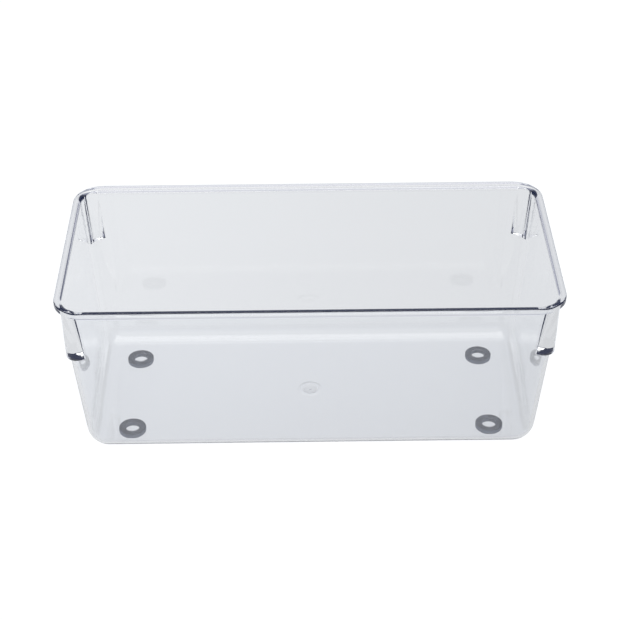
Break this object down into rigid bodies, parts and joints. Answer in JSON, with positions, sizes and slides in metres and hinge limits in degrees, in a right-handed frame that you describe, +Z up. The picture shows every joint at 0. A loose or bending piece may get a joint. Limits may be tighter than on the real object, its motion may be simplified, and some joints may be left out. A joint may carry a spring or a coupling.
{
  "type": "stackable drawer box",
  "caption": "Clear open-top organizer box with drafted walls, a bead rim, solid corner lugs for stacking and soft ring feet.",
  "frame": {"origin": "on the surface that the feet stand on, under the middle of the box", "axes": "+Z up, +X along the long side, the front at -Y"},
  "size_m": [0.3, 0.15, 0.1137],
  "materials": {
    "clear_plastic": "clear and polished, with a faint blue-grey tint",
    "foot_rubber": "matte, mid grey"
  },
  "bodies": {
    "root": {"tub": "clear_plastic", "foot_front_left": "foot_rubber", "foot_front_right": "foot_rubber", "foot_back_left": "foot_rubber", "foot_back_right": "foot_rubber"}
  },
  "joints": []
}
